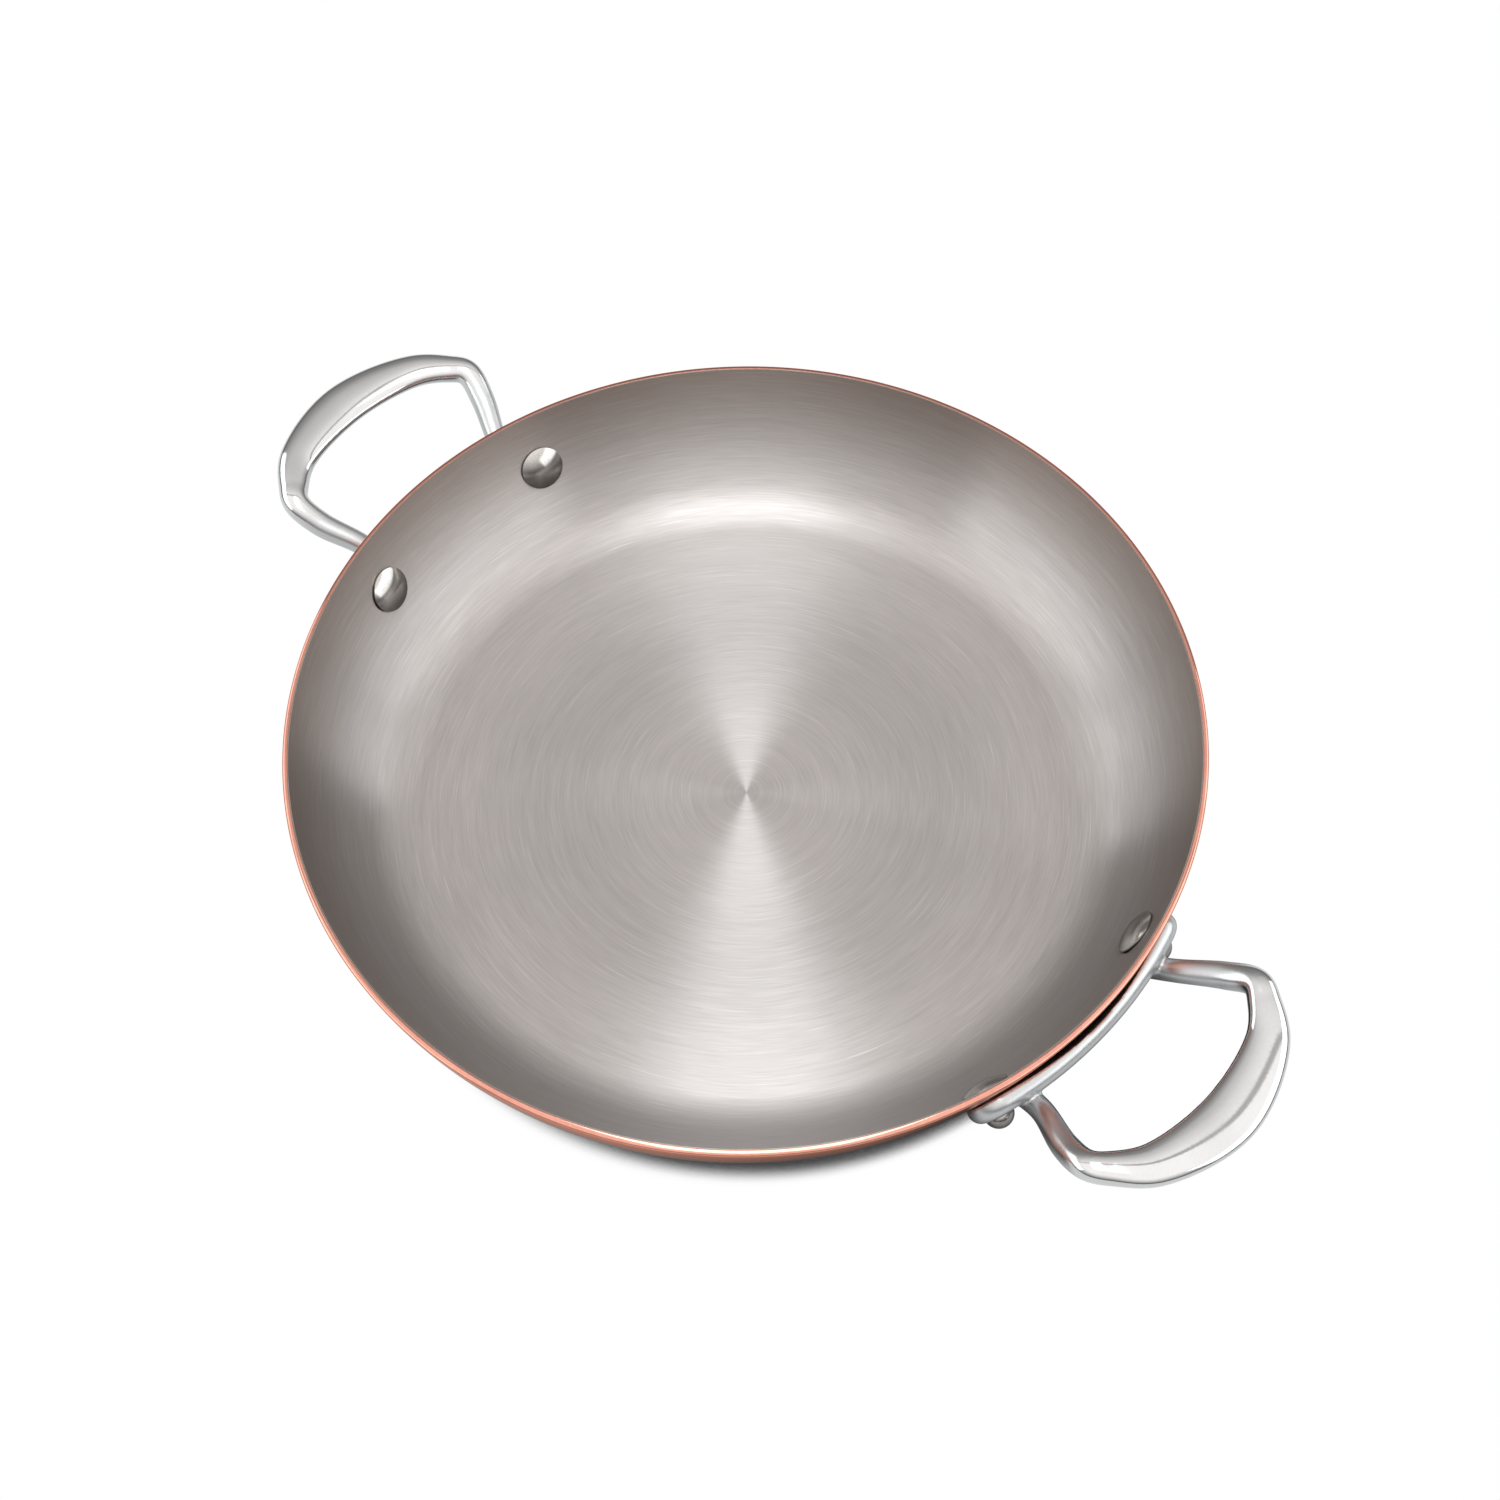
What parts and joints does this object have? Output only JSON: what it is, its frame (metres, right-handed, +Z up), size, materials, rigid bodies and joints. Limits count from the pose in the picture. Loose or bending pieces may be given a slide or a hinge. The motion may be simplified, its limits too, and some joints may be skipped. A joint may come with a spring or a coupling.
{
  "type": "copper pan with two loop handles",
  "caption": "Round shallow copper pan with a brushed steel lining and a riveted cast loop handle on each side.",
  "frame": {"origin": "centre of the pan's flat resting face", "axes": "+X towards the right handle, +Z up from the resting face to the rim"},
  "size_m": [0.3858, 0.2796, 0.046],
  "materials": {
    "copper": "polished copper",
    "lining_steel": "brushed in rings",
    "handle_steel": "polished casting",
    "rivet_steel": "satin"
  },
  "bodies": {
    "root": {"copper_body": "copper", "steel_lining": "lining_steel", "right_handle": "handle_steel", "left_handle": "handle_steel", "right_front_rivet": "rivet_steel", "right_rear_rivet": "rivet_steel", "left_front_rivet": "rivet_steel", "left_rear_rivet": "rivet_steel"}
  },
  "joints": []
}
